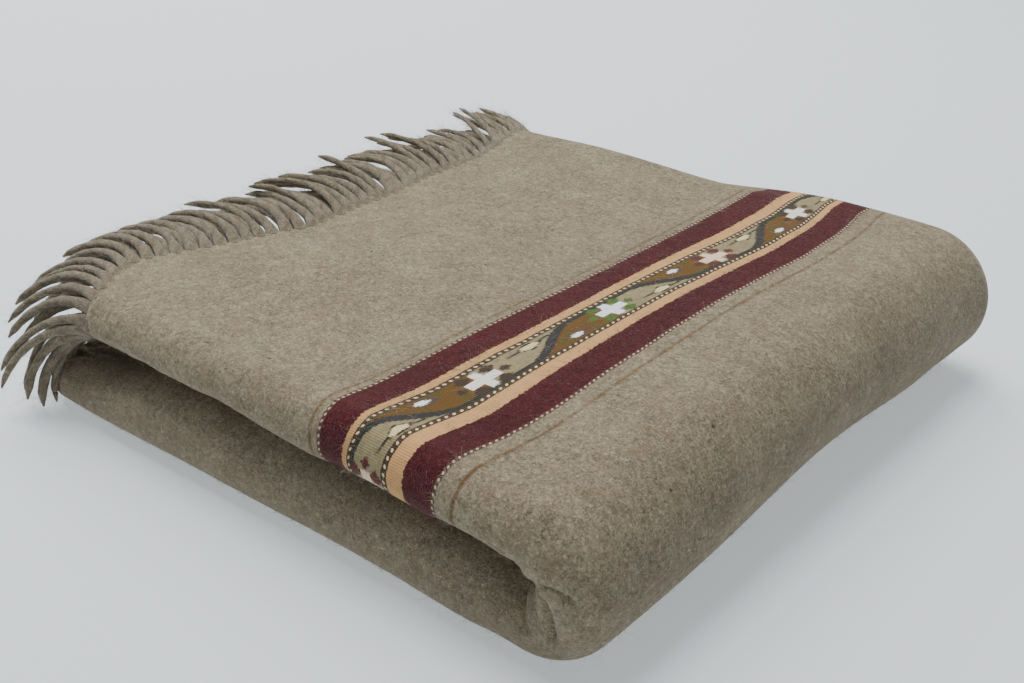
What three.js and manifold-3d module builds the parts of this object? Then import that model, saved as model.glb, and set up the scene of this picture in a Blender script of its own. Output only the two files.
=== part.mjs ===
// A wool shawl, folded for a shelf: one long cloth with a fringe at each end.
// Lengths are in millimetres, +Z is up, and the shawl lies on the plane z = 0.
//
// The cloth is folded three times. Crosswise runs lay it back and forth into four leaves, with both
// fringed edges together on the outside. The four leaves are folded in half lengthwise, which makes
// the long rounded fold at the near side. The pack of eight is then doubled over at the right, so
// that an upper pack lies on a lower one and sixteen leaves lie one above another.
//
// Three coordinates follow the folding:
//   station  distance along the pack, from the fringed edge over the right fold to the lower pack's end
//   level    distance of a leaf from the lengthwise fold's middle, in leaf pitches
//   across   distance along a leaf's cut, from the middle of the lengthwise fold, + on the upper half

import * as THREE from 'three';
import { mergeVertices } from 'three/addons/utils/BufferGeometryUtils.js';
import Module from 'manifold-3d';

const wasm = await Module();
wasm.setup();

// Driving dimensions
const CLOTH_THICKNESS = 2.6;
const LEAF_PITCH = 4.8;
const FOLDED_WIDTH = 362;
const FOLD_START_X = 280;
const LOWER_END_X = -38;
const FRINGE_SPACING = 9;
const STRAND_RADIUS = 2.1;
const PIECE_GAP = 0.3;

// The upper and the lower pack where they meet the right fold
const UPPER = { squeeze: 0.91, turnRadius: 20.1, foldCentreY: 3.9, topZ: 80.7 };
const LOWER = { squeeze: 1.11, turnRadius: 24.05, foldCentreY: 8 };
const TURN_CENTRE_Z = 44;
const TURN_LENGTH = Math.PI * 22;

// How the packs give way: the far edge droops, both packs thin out towards the fringe, the far corner
// of the right fold flares, and the lower pack swells away from its folds until it bears the upper
const FAR_DROOP = { fromY: 335, overY: 27, depth: 14, endX: 225, fadeX: 130, upperThin: 0.1, lowerThin: 0.28 };
const UPPER_LEFT = { startX: 70, fadeX: 80, drop: 4, thin: 0.08 };
const LOWER_LEFT = { startX: 60, fadeX: 110, thin: 0.27 };
const FAR_FLARE = { startX: 140, fadeX: 130, out: 5 };
const LOWER_LOFT = { swell: 0.13, fromY: 15, overY: 70, endX: 275, fadeX: 110 };
const EDGE_STAGGER = 0.3;

// The leaf levels and the turns between them, in the order in which the cloth runs
const OUTER_LEVEL = 3.5;
const SECOND_LEVEL = 2.5;
const FOLDS = [
  { run: 'to end', level: 3.5 },
  { turn: 'at end', from: 3.5, to: 0.5, steps: 5 },
  { run: 'to edge', level: 0.5 },
  { turn: 'at edge', from: 0.5, to: 1.5, steps: 3 },
  { run: 'to end', level: 1.5 },
  { turn: 'at end', from: 1.5, to: 2.5, steps: 3 },
  { run: 'to edge', level: 2.5 },
];
const OUTER_LEAF_EDGE = 0;
const INNER_LEAF_EDGE = 3;

// Stations of the cross sections: even steps between the named places of the pack
const PACK_END = 2 * FOLD_START_X + TURN_LENGTH - LOWER_END_X - 1.5 * LEAF_PITCH - CLOTH_THICKNESS / 2;
const SPANS = [
  { from: 0, to: 60, steps: 2 },
  { from: 60, to: FOLD_START_X, steps: 3 },
  { from: FOLD_START_X, to: FOLD_START_X + TURN_LENGTH, steps: 6 },
  { from: FOLD_START_X + TURN_LENGTH, to: PACK_END - 90, steps: 3 },
  { from: PACK_END - 90, to: PACK_END, steps: 3 },
];

// Stations across one half of a leaf: steps round the fold, then places on the flat
const FOLD_STEPS = 4;
const FLAT_SHARES = [0.1, 0.2, 0.35, 0.65, 0.92, 0.965, 1];

// The line of the fringed edge: how far it stands out to the left at each y
const EDGE_LINE = [
  { y: -13, out: -7 },
  { y: 1, out: -4 },
  { y: 40, out: 11 },
  { y: 73, out: 5 },
  { y: 93, out: -2 },
  { y: 131, out: -12 },
  { y: 247, out: -10 },
  { y: 288, out: -9 },
  { y: 345, out: 4 },
  { y: 365, out: 8 },
];
const EDGE_EASE = 150;

// How the strands hang, by place across the cloth: length, final sag and final lean, degrees
const HANG = [
  { across: -360, length: 74, sag: 60, lean: 10 },
  { across: -70, length: 76, sag: 66, lean: -12 },
  { across: -40, length: 72, sag: 78, lean: -30 },
  { across: -22, length: 72, sag: 88, lean: -54 },
  { across: -6, length: 76, sag: 86, lean: -50 },
  { across: 14, length: 80, sag: 66, lean: -32 },
  { across: 45, length: 80, sag: 46, lean: -24 },
  { across: 110, length: 84, sag: 36, lean: -12 },
  { across: 220, length: 84, sag: 30, lean: 4 },
  { across: 290, length: 80, sag: 26, lean: 18 },
  { across: 360, length: 78, sag: 22, lean: 34 },
];
const INNER_SAG_CHANGE = 6;
const SAG_POWER = 1.1;
const STRAND_STEPS = 4;
const STRIP_WIDTH = 4;
const ROOT_DEPTH = 2;
const ROOT_RADIUS = 1.1;
const TIP_TAPER = 0.35;

const WOOL = { color: 0x968a78, roughness: 0.95, metalness: 0 };
const FRINGE_WOOL = { color: 0x8c8070, roughness: 0.95, metalness: 0 };

const radians = THREE.MathUtils.degToRad;
const mix = THREE.MathUtils.lerp;
const ease = (share) => THREE.MathUtils.smoothstep(share, 0, 1);

// Straight-line reading of a table whose rows rise in the key column
function readTable(rows, key, place, column) {
  const last = rows.length - 1;
  if (place <= rows[0][key]) {
    return rows[0][column];
  }
  if (place >= rows[last][key]) {
    return rows[last][column];
  }
  const above = rows.findIndex((row) => row[key] >= place);
  const low = rows[above - 1];
  const high = rows[above];
  return mix(low[column], high[column], (place - low[key]) / (high[key] - low[key]));
}

// Length of the arc that a leaf takes round the lengthwise fold, one half of it
const foldArc = (level) => (Math.PI / 2) * level * LEAF_PITCH;
const OUTER_ARC = foldArc(OUTER_LEVEL);

// Half of the leaf's cut, from the fold's middle to the far edge; inner leaves stand out a little
function halfCut(level) {
  return FOLDED_WIDTH - UPPER.foldCentreY + foldArc(level) + EDGE_STAGGER * (OUTER_ARC - foldArc(level));
}

// A point of the leaf at this level, for a station along the pack and a place across the cloth
function pointAt(station, level, across) {
  const turn = THREE.MathUtils.clamp((station - FOLD_START_X) / TURN_LENGTH, 0, 1);
  const share = ease(turn);
  const rho = level * LEAF_PITCH;
  const squeeze = mix(UPPER.squeeze, LOWER.squeeze, share);
  const foldCentreY = mix(UPPER.foldCentreY, LOWER.foldCentreY, share);
  const arc = foldArc(level);
  const out = Math.abs(across);
  const angle = Math.min(out / rho, Math.PI / 2);
  const flatSpan = halfCut(level) - arc;
  const flatScale = (flatSpan - foldCentreY + UPPER.foldCentreY) / flatSpan;
  let y = foldCentreY - squeeze * rho * Math.cos(angle);
  if (out > arc) {
    y = foldCentreY + (out - arc) * flatScale;
  }
  const rise = Math.sign(across) * rho * Math.sin(angle);
  const onUpper = turn <= 0;
  const onLower = turn >= 1;
  let x = FOLD_START_X;
  if (onUpper) {
    x = station;
  }
  if (onLower) {
    x = 2 * FOLD_START_X + TURN_LENGTH - station;
  }
  y += FAR_FLARE.out * ease((x - FAR_FLARE.startX) / FAR_FLARE.fadeX) * Math.max(y / FOLDED_WIDTH, 0);
  if (onUpper) {
    const droop = farDroop(x, y);
    const left = ease((UPPER_LEFT.startX - x) / UPPER_LEFT.fadeX);
    const thin = UPPER.squeeze * (1 - FAR_DROOP.upperThin * droop) * (1 - UPPER_LEFT.thin * left);
    const top = UPPER.topZ - FAR_DROOP.depth * droop - UPPER_LEFT.drop * left;
    const middle = top - thin * OUTER_LEVEL * LEAF_PITCH - CLOTH_THICKNESS / 2;
    const edge = readTable(EDGE_LINE, 'y', y, 'out') * ease(1 - station / EDGE_EASE);
    return new THREE.Vector3(x - edge, y, middle + thin * rise);
  }
  if (onLower) {
    const droop = farDroop(x, y);
    const left = ease((LOWER_LEFT.startX - x) / LOWER_LEFT.fadeX);
    const loft = 1 + lowerLoft(x, y) * (1 - droop);
    const thin = LOWER.squeeze * (1 - FAR_DROOP.lowerThin * droop) * (1 - LOWER_LEFT.thin * left) * loft;
    const middle = thin * OUTER_LEVEL * LEAF_PITCH + CLOTH_THICKNESS / 2;
    return new THREE.Vector3(x, y, middle - thin * rise);
  }
  const radius = mix(UPPER.turnRadius, LOWER.turnRadius, share) + squeeze * rise;
  const phi = Math.PI * turn;
  return new THREE.Vector3(x + radius * Math.sin(phi), y, TURN_CENTRE_Z + radius * Math.cos(phi));
}

function farDroop(x, y) {
  return ease((y - FAR_DROOP.fromY) / FAR_DROOP.overY) * ease((FAR_DROOP.endX - x) / FAR_DROOP.fadeX);
}

function lowerLoft(x, y) {
  const inward = ease((y - LOWER_LOFT.fromY) / LOWER_LOFT.overY);
  return LOWER_LOFT.swell * inward * ease((LOWER_LOFT.endX - x) / LOWER_LOFT.fadeX);
}

// Stations of one run, from the fringed side to the pack's end
function runStations(first) {
  const stations = [first];
  for (const span of SPANS) {
    for (let step = 1; step <= span.steps; step += 1) {
      stations.push(mix(span.from, span.to, step / span.steps));
    }
  }
  return stations;
}

// The cloth's whole way through the pack, as sections with a station and a level
function sectionsAlong() {
  const sections = [];
  FOLDS.forEach((fold, index) => {
    if (fold.run) {
      const turnSide = index === 0 ? OUTER_LEAF_EDGE : LEAF_PITCH;
      const first = index === FOLDS.length - 1 ? INNER_LEAF_EDGE : turnSide;
      const stations = runStations(first);
      if (fold.run === 'to edge') {
        stations.reverse();
      }
      stations.forEach((station) => sections.push({ station, level: fold.level }));
      return;
    }
    const middle = (fold.from + fold.to) / 2;
    const radius = (fold.from - fold.to) / 2;
    const side = fold.turn === 'at end' ? 1 : -1;
    const base = fold.turn === 'at end' ? PACK_END : LEAF_PITCH;
    for (let step = 1; step < fold.steps; step += 1) {
      const angle = (Math.PI * step) / fold.steps;
      const reach = Math.abs(radius) * LEAF_PITCH * Math.sin(angle);
      sections.push({ station: base + side * reach, level: middle + radius * Math.cos(angle) });
    }
  });
  return sections;
}

// Places across one leaf, from the under half's far edge to the upper half's
function placesAcross(level) {
  const arc = foldArc(level);
  const half = [];
  for (let step = 1; step <= FOLD_STEPS; step += 1) {
    half.push((arc * step) / FOLD_STEPS);
  }
  FLAT_SHARES.forEach((share) => half.push(mix(arc, halfCut(level), share)));
  const under = half.map((place) => -place).reverse();
  return [...under, 0, ...half];
}

// A point on the straight steps of one row, so that it lies in a sheet built on that row
function pointOnRow(station, level, across) {
  const places = placesAcross(level);
  const above = Math.max(places.findIndex((place) => place >= across), 1);
  const low = pointAt(station, level, places[above - 1]);
  const high = pointAt(station, level, places[above]);
  return low.lerp(high, (across - places[above - 1]) / (places[above] - places[above - 1]));
}

// A closed sheet of even thickness on a grid of points, rows along and columns across
function sheetGeometry(rows, thickness) {
  const rowCount = rows.length;
  const columnCount = rows[0].length;
  const clampRow = (row) => THREE.MathUtils.clamp(row, 0, rowCount - 1);
  const clampColumn = (column) => THREE.MathUtils.clamp(column, 0, columnCount - 1);
  const positions = [];
  for (const side of [0.5, -0.5]) {
    for (let row = 0; row < rowCount; row += 1) {
      for (let column = 0; column < columnCount; column += 1) {
        const point = rows[row][column];
        const along = unitStep(rows[clampRow(row - 1)][column], point, rows[clampRow(row + 1)][column]);
        const left = rows[row][clampColumn(column - 1)];
        const right = rows[row][clampColumn(column + 1)];
        const aside = unitStep(left, point, right);
        const normal = along.cross(aside).normalize();
        positions.push(...point.clone().addScaledVector(normal, side * thickness).toArray());
      }
    }
  }
  const layer = rowCount * columnCount;
  const index = [];
  const quad = (a, b, c, d) => index.push(a, b, c, a, c, d);
  for (let row = 0; row < rowCount - 1; row += 1) {
    for (let column = 0; column < columnCount - 1; column += 1) {
      const a = row * columnCount + column;
      const b = a + columnCount;
      quad(a, b, b + 1, a + 1);
      quad(layer + a + 1, layer + b + 1, layer + b, layer + a);
    }
  }
  const wall = (a, b) => quad(b, a, layer + a, layer + b);
  for (let row = 0; row < rowCount - 1; row += 1) {
    const first = row * columnCount;
    const last = first + columnCount - 1;
    wall(first, first + columnCount);
    wall(last + columnCount, last);
  }
  for (let column = 0; column < columnCount - 1; column += 1) {
    const foot = (rowCount - 1) * columnCount;
    wall(column + 1, column);
    wall(foot + column, foot + column + 1);
  }
  const geometry = new THREE.BufferGeometry();
  geometry.setAttribute('position', new THREE.Float32BufferAttribute(positions, 3));
  geometry.setIndex(index);
  return geometry;
}

// Mean direction of the steps before and after a point, each counted alike
function unitStep(before, point, after) {
  const into = point.clone().sub(before).normalize();
  const onward = after.clone().sub(point).normalize();
  return into.add(onward).normalize();
}

// A strand of three sides: it leaves the edge level, then sags and leans more along its length
function strandGeometry(root, outward, length, sag, lean) {
  const rings = [];
  const place = root.clone();
  const stepLength = length / STRAND_STEPS;
  for (let step = 0; step <= STRAND_STEPS; step += 1) {
    const share = step / STRAND_STEPS;
    const down = sag * share ** SAG_POWER;
    const aside = lean * share;
    const direction = new THREE.Vector3(
      -Math.cos(down) * Math.cos(aside),
      Math.cos(down) * Math.sin(aside),
      -Math.sin(down),
    );
    const side = new THREE.Vector3().crossVectors(direction, outward).normalize();
    const up = new THREE.Vector3().crossVectors(side, direction).normalize();
    const radius = step === 0 ? ROOT_RADIUS : STRAND_RADIUS * (1 - TIP_TAPER * share);
    rings.push([0, 1, 2].map((corner) => {
      const turn = (2 * Math.PI * corner) / 3;
      return place.clone().addScaledVector(up, radius * Math.cos(turn))
        .addScaledVector(side, radius * Math.sin(turn));
    }));
    place.addScaledVector(direction, stepLength);
  }
  const index = [];
  for (let ring = 0; ring < STRAND_STEPS; ring += 1) {
    for (let corner = 0; corner < 3; corner += 1) {
      const a = ring * 3 + corner;
      const b = ring * 3 + (corner + 1) % 3;
      index.push(a, b, b + 3, a, b + 3, a + 3);
    }
  }
  const tip = STRAND_STEPS * 3;
  index.push(0, 2, 1, tip, tip + 1, tip + 2);
  const geometry = new THREE.BufferGeometry();
  const positions = rings.flat().flatMap((corner) => corner.toArray());
  geometry.setAttribute('position', new THREE.Float32BufferAttribute(positions, 3));
  geometry.setIndex(index);
  return geometry;
}

function toManifold(geometry) {
  const merged = mergeVertices(geometry, 1e-4);
  return new wasm.Manifold(new wasm.Mesh({
    numProp: 3,
    vertProperties: new Float32Array(merged.attributes.position.array),
    triVerts: new Uint32Array(merged.index.array),
  }));
}

function fromManifold(solid) {
  const mesh = solid.getMesh();
  const geometry = new THREE.BufferGeometry();
  geometry.setAttribute('position', new THREE.BufferAttribute(mesh.vertProperties, 3));
  geometry.setIndex(new THREE.BufferAttribute(mesh.triVerts, 1));
  return geometry;
}

// One end's fringe: a narrow strip just off the cloth's edge, and the strands that grow from it
function fringeGeometry(level, edgeStation, shift) {
  const nearSide = edgeStation - PIECE_GAP;
  const stripRow = (station) => placesAcross(level).map((across) => pointAt(station, level, across));
  const strip = [nearSide, nearSide - STRIP_WIDTH].map(stripRow);
  let solid = toManifold(sheetGeometry(strip.reverse(), CLOTH_THICKNESS));
  const reach = halfCut(level) - FRINGE_SPACING / 2;
  const count = Math.floor((2 * reach) / FRINGE_SPACING);
  const inner = level < OUTER_LEVEL;
  for (let number = 0; number <= count; number += 1) {
    const across = -reach + FRINGE_SPACING * (number + shift);
    if (across > reach) {
      continue;
    }
    const root = pointOnRow(nearSide - ROOT_DEPTH, level, across);
    const onward = pointOnRow(nearSide - ROOT_DEPTH, level, across + 1).sub(root).setX(0);
    const outward = new THREE.Vector3(0, -onward.z, onward.y).normalize();
    const change = inner ? Math.sign(across) * INNER_SAG_CHANGE : 0;
    const sag = radians(readTable(HANG, 'across', across, 'sag') + change);
    const lean = radians(readTable(HANG, 'across', across, 'lean'));
    const length = readTable(HANG, 'across', across, 'length');
    solid = solid.add(toManifold(strandGeometry(root, outward, length, sag, lean)));
  }
  return fromManifold(solid);
}

function clothGeometry() {
  const rows = sectionsAlong().map(({ station, level }) => (
    placesAcross(level).map((across) => pointAt(station, level, across))
  ));
  return sheetGeometry(rows, CLOTH_THICKNESS);
}

function namedMesh(name, geometry, finish) {
  const mesh = new THREE.Mesh(geometry, new THREE.MeshStandardMaterial(finish));
  mesh.name = name;
  return mesh;
}

const shawl = new THREE.Group();
shawl.add(namedMesh('shawl_cloth', clothGeometry(), WOOL));
shawl.add(namedMesh('fringe_first_end', fringeGeometry(OUTER_LEVEL, OUTER_LEAF_EDGE, 0), FRINGE_WOOL));
shawl.add(namedMesh('fringe_second_end', fringeGeometry(SECOND_LEVEL, INNER_LEAF_EDGE, 0.5), FRINGE_WOOL));

// The origin is the middle of the footprint, on the surface
const box = new THREE.Box3().setFromObject(shawl);
const middle = box.getCenter(new THREE.Vector3());
shawl.position.set(-middle.x, -middle.y, -box.min.z);

export default shawl;
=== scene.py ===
"""A wool shawl folded for a shelf, with a twisted fringe and a woven band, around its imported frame."""

import logging
import math
from dataclasses import dataclass
from enum import Enum
from typing import Any

import bmesh
import bpy
import numpy as np
from mathutils import Euler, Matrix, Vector


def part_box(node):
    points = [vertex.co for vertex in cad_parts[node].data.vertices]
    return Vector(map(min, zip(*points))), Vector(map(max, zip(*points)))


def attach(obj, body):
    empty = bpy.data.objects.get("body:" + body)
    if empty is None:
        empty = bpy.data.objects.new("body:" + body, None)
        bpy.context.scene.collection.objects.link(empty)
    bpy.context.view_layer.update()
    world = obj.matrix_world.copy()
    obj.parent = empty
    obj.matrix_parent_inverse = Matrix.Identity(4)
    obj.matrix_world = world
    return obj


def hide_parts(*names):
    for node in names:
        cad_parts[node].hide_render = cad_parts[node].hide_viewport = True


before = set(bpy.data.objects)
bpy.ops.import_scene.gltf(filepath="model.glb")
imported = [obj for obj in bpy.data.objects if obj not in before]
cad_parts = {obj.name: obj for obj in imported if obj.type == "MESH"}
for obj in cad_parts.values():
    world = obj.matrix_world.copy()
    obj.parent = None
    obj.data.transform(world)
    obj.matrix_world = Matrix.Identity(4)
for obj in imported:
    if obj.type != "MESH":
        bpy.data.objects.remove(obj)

log = logging.getLogger("folded_shawl")

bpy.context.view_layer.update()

# Shapes are worked out in millimetres and become metres when they reach a mesh
MM = 0.001
PHOTO_WIDTH = 1024

CLOTH_NODE = "shawl_cloth"
FIRST_FRINGE_NODE = "fringe_first_end"
SECOND_FRINGE_NODE = "fringe_second_end"
CLOTH_SLOT = "wool_cloth"
FRINGE_SLOT = "fringe_wool"
CLOTH_MAP = "weave"
DYE_ATTRIBUTE = "dye_share"

FLAT_LENGTH = 2.66

Table = tuple[tuple[float, ...], ...]
Array = np.ndarray


def ease(share: Array) -> Array:
    """Return the smooth step of a share, which stays at 0 and 1 outside them."""
    kept = np.clip(share, 0.0, 1.0)
    return kept * kept * (3.0 - 2.0 * kept)


def ramp(value: Array, start: float, end: float) -> Array:
    """Return a smooth share, 0 where the value is at start and 1 where it is at end."""
    return ease((value - start) / (end - start))


def mixed(low: Any, high: Any, share: Array) -> Array:
    """Return the value a share of the way from low to high."""
    return low + (high - low) * share


def bell(value: Array, middle: float, radius: float) -> Array:
    """Return a bell curve, which is 1 where the value is in the middle."""
    return np.exp(-(((value - middle) / radius) ** 2))


def read_table(rows: Table, place: Array, column: int) -> Array:
    """Read a table in straight lines between its rows.

    Args:
        rows: Rows whose first column rises.
        place: Places in the first column.
        column: Number of the column that is read.

    Returns:
        The column's value at each place.
    """
    keys = [row[0] for row in rows]
    values = [row[column] for row in rows]
    return np.interp(place, keys, values)


def unit(vectors: Array) -> Array:
    """Return vectors scaled to a length of one."""
    lengths = np.linalg.norm(vectors, axis=-1, keepdims=True)
    return vectors / np.maximum(lengths, 1e-9)


class Side(Enum):
    """The two ends of the cloth."""

    FIRST = "first"
    SECOND = "second"


@dataclass(frozen=True)
class Fold:
    """One stretch of the cloth's way through the pack."""

    to_end: bool
    level: float
    next_level: float | None
    steps: int


@dataclass(frozen=True)
class Crease:
    """A soft trough or ridge of the outer leaf along a line of (station, across)."""

    line: Table
    half_width: float
    height: float

    def at(self, station: Array, across: Array) -> Array:
        """Return the crease's height at each place.

        Args:
            station: Distances along the pack.
            across: Distances along the leaf's cut.

        Returns:
            Heights in millimetres.
        """
        height = np.zeros_like(station)
        for number in range(len(self.line) - 1):
            start, end = np.array(self.line[number]), np.array(self.line[number + 1])
            way = end - start
            share = ((station - start[0]) * way[0] + (across - start[1]) * way[1]) / (way @ way)
            share = np.clip(share, 0, 1)
            away_x = station - start[0] - share * way[0]
            away_y = across - start[1] - share * way[1]
            near = np.exp(-(away_x**2 + away_y**2) / self.half_width**2)
            height = np.maximum(height, near)
        return height * self.height


@dataclass(frozen=True)
class FoldMap:
    """The folded shape: where a place of the flat cloth lies in the folded pack, in millimetres."""

    thickness: float = 2.6
    pitch: float = 4.8
    width: float = 362.0
    fold_start: float = 280.0
    lower_end: float = -38.0
    turn_length: float = math.pi * 22.0
    turn_centre_z: float = 44.0
    top_z: float = 80.7
    # How close the leaves lie, as a share of the pitch
    upper_squeeze: float = 0.91
    lower_squeeze: float = 1.11
    upper_turn_radius: float = 20.1
    lower_turn_radius: float = 24.05
    upper_fold_y: float = 3.9
    lower_fold_y: float = 8.0
    # How far the lower pack's near side and the right fold's lower side are drawn in, and its lift
    lower_draw: float = 4.0
    turn_draw: float = 7.0
    turn_lift: float = 2.5
    # How much the upper pack's lip is tucked up, all along and more at the left
    lip_tuck: float = 0.12
    end_tuck: float = 0.28
    # How much fuller the lower pack's rounded upper side is, and how much higher its middle lies
    lower_fuller: float = 0.24
    lower_loft: float = 0.13
    # How the far left edge droops: its drop, and how much flatter each pack is there
    droop_drop: float = 14.0
    upper_droop_flat: float = 0.1
    lower_droop_flat: float = 0.28
    # The same for the left end
    end_drop: float = 4.0
    upper_end_flat: float = 0.08
    lower_end_flat: float = 0.27
    far_flare: float = 5.0
    outer_level: float = 3.5
    second_level: float = 2.5
    outer_edge: float = 0.0
    inner_edge: float = 3.0
    stagger: float = 0.3
    edge_ease: float = 150.0
    hill_falloff: float = 1.4
    ripple: float = 0.45
    # The leaves' far edges waver: wave length, shift for each level, height
    edge_waves: Table = ((61.0, 2.1, 0.9), (23.0, 4.3, 0.35))
    # The fringed edge's line: y, how far it stands out to the left
    edge_line: Table = (
        (-13, -7), (1, -2), (18, 9), (36, 15), (54, 9), (82, -3), (113, -11), (126, -18), (141, -17),
        (165, -16), (200, -15.5), (234, -11), (258, -12), (278, -13), (321, -1), (345, 4), (365, 8),
    )
    # Soft hills and hollows of the upper pack's top: x, y, radius along x, radius along y, height
    hills: Table = (
        (262, 165, 95, 150, 5.0), (120, 250, 60, 80, -1.0), (70, 120, 45, 60, 1.2),
        (150, 60, 40, 34, -1.3), (30, 215, 30, 60, -1.4), (215, 300, 60, 40, 0.9),
        (95, 330, 45, 30, 1.2), (290, 60, 40, 30, -1.0), (170, 12, 130, 55, -2.6),
        (85, 10, 75, 60, -3.0),
    )
    # The near corner's creases and the dents of the fold's lip beside it
    creases: tuple[Crease, ...] = (
        Crease(((302, -10), (314, -6), (325, -1), (331, 4)), 2.0, -3.2),
        Crease(((331, 4), (336, 12)), 2.2, -1.0),
        Crease(((304, -9), (306, 1), (310, 8)), 1.6, -1.7),
        Crease(((317, -11), (326, -6), (333, 0)), 2.6, 1.0),
        Crease(((348, -16), (344, -9), (343, -3)), 3.6, -1.9),
        Crease(((308, -2), (318, 5), (326, 13)), 4.6, 1.3),
        Crease(((294, -14), (301, -13)), 3.4, 1.2),
        Crease(((244, -19), (262, -17)), 9.0, -3.6),
        Crease(((274, -15), (281, -14)), 6.0, -1.2),
        Crease(((238, -16), (244, -18)), 5.0, 1.0),
        Crease(((376, -4), (420, 2)), 9.0, -1.5),
        Crease(((352, 4), (362, 10)), 9.0, -1.0),
        Crease(((318, 345), (322, 380)), 26.0, -2.5),
        Crease(((180, -14), (205, -17)), 8.0, -1.2),
        Crease(((60, -6), (85, -10)), 9.0, 1.2),
    )

    @property
    def pack_end(self) -> float:
        """Station at which the leaves turn back at the lower pack's end."""
        run = 2 * self.fold_start + self.turn_length - self.lower_end
        return run - 1.5 * self.pitch - self.thickness / 2

    @property
    def outer_rho(self) -> float:
        """Distance of the outer leaf's middle from the lengthwise fold's middle."""
        return self.outer_level * self.pitch

    @property
    def outer_arc(self) -> float:
        """Length of the arc round the lengthwise fold, one half of the outer leaf."""
        return float(self.arc(self.outer_level))

    @property
    def outer_half_cut(self) -> float:
        """Half of the outer leaf's cut, from the fold's middle to the far edge."""
        return float(self.half_cut(self.outer_level))

    def arc(self, level: Array) -> Array:
        """Return the length of the arc that half a leaf takes round the lengthwise fold."""
        return math.pi / 2 * level * self.pitch

    def half_cut(self, level: Array) -> Array:
        """Return half of a leaf's cut, from the fold's middle to the far edge."""
        flat = self.width - self.upper_fold_y
        return flat + self.arc(level) + self.stagger * (self.outer_arc - self.arc(level))

    def hill_height(self, x: Array, y: Array) -> Array:
        """Return how far the upper pack's top stands over its even height.

        Args:
            x: Distances from the fringed edge.
            y: Distances from the near side.

        Returns:
            Heights in millimetres.
        """
        height = np.zeros_like(x)
        for middle_x, middle_y, radius_x, radius_y, rise in self.hills:
            away = ((x - middle_x) / radius_x) ** 2 + ((y - middle_y) / radius_y) ** 2
            height = height + rise * np.exp(-self.hill_falloff * away)
        return height * ramp(y, -14, 31)

    def smooth_place(self, station: Array, level: Array, across: Array) -> Array:
        """Place points on the folded leaves, without the creases.

        The two places given to each ramp are those, in millimetres, between which a form fades in.

        Args:
            station: Distances along the pack, from the fringed edge over the right fold.
            level: Distances from the lengthwise fold's middle, in leaf pitches.
            across: Distances along the leaf's cut, + on the upper half.

        Returns:
            Points in millimetres, one row each.
        """
        turn = np.clip((station - self.fold_start) / self.turn_length, 0, 1)
        upper, lower = turn <= 0, turn >= 1
        below = 2 * self.fold_start + self.turn_length - station
        x = np.where(upper, station, np.where(lower, below, self.fold_start))
        y, rise = self.section(station, x, level, across, ease(turn))
        y = y + self.far_flare * ramp(x, 140, 270) * np.maximum(y / self.width, 0)
        y = y + self.edge_wander(x, level) * ramp(y, 180, 360)
        droop = ramp(y, 335, 362) * ramp(x, 225, 95)
        hill = self.hill_height(x, y) * (0.5 + 0.5 * rise / self.outer_rho)

        edge = read_table(self.edge_line, y, 1) * ramp(x, self.edge_ease, 0)
        upper_place = np.stack([x - edge, y, self.upper_height(x, rise, droop) + hill], -1)

        drawn = bell(y, 205, 95) * level / self.outer_level
        inward = drawn * np.where(lower, ramp(x, 170, 280), ramp(turn, 0.3, 0.75))
        lifted = drawn * self.turn_lift * ramp(x, 225, 280)
        lower_z = self.lower_height(x, y, across, rise, droop) + lifted
        lower_place = np.stack([x - inward * self.turn_draw, y, lower_z], -1)

        radius = mixed(self.upper_turn_radius, self.lower_turn_radius, ease(turn))
        radius = radius + self.squeeze(ease(turn)) * rise + hill * ease(1 - turn * 1.7)
        phi = math.pi * turn
        turn_x = x + radius * np.sin(phi) - inward * self.turn_draw
        turn_z = self.turn_centre_z + radius * np.cos(phi) + inward * self.turn_lift
        turn_place = np.stack([turn_x, y, turn_z], -1)
        return np.where(upper[..., None], upper_place, np.where(lower[..., None], lower_place, turn_place))

    def squeeze(self, share: Array) -> Array:
        """Return how close the leaves lie this share of the way round the right fold."""
        return mixed(self.upper_squeeze, self.lower_squeeze, share)

    def section(self, station: Array, x: Array, level: Array, across: Array,
                share: Array) -> tuple[Array, Array]:
        """Bend the leaves round the lengthwise fold.

        Args:
            station: Distances along the pack.
            x: Distances from the fringed edge to the right.
            level: Distances from the lengthwise fold's middle, in leaf pitches.
            across: Distances along the leaf's cut.
            share: How far round the right fold each place lies.

        Returns:
            Distances from the near side, and distances off the pack's middle, with across's sign.
        """
        rho = level * self.pitch
        fold_y = mixed(self.upper_fold_y, self.lower_fold_y, share)
        fold_y = fold_y + self.lower_draw * share * ramp(x, 40, 160)
        arc = self.arc(level)
        out = np.abs(across)
        angle = np.minimum(out / np.maximum(rho, 1e-6), math.pi / 2)
        flat_span = self.half_cut(level) - arc
        flat_scale = (flat_span - fold_y + self.upper_fold_y) / flat_span
        flat_y = fold_y + (out - arc) * flat_scale
        y = np.where(out > arc, flat_y, fold_y - self.squeeze(share) * rho * np.cos(angle))
        tuck = self.lip_tuck + self.end_tuck * ramp(station, 165, 70)
        tuck = tuck * ramp(y, 90, 10) * ramp(station, 280, 220) * (across < 0)
        return y, np.sign(across) * rho * np.sin(angle) * (1 - tuck)

    def upper_height(self, x: Array, rise: Array, droop: Array) -> Array:
        """Return the heights of places of the upper pack, without its hills.

        Args:
            x: Distances from the fringed edge.
            rise: Distances off the pack's middle, not squeezed.
            droop: How far the far left edge droops there, as a share.

        Returns:
            Heights above the floor.
        """
        left = ramp(x, 70, -10)
        thin = self.upper_squeeze * (1 - self.upper_droop_flat * droop) * (1 - self.upper_end_flat * left)
        top = self.top_z - self.droop_drop * droop - self.end_drop * left
        return top - thin * self.outer_rho - self.thickness / 2 + thin * rise

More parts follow.
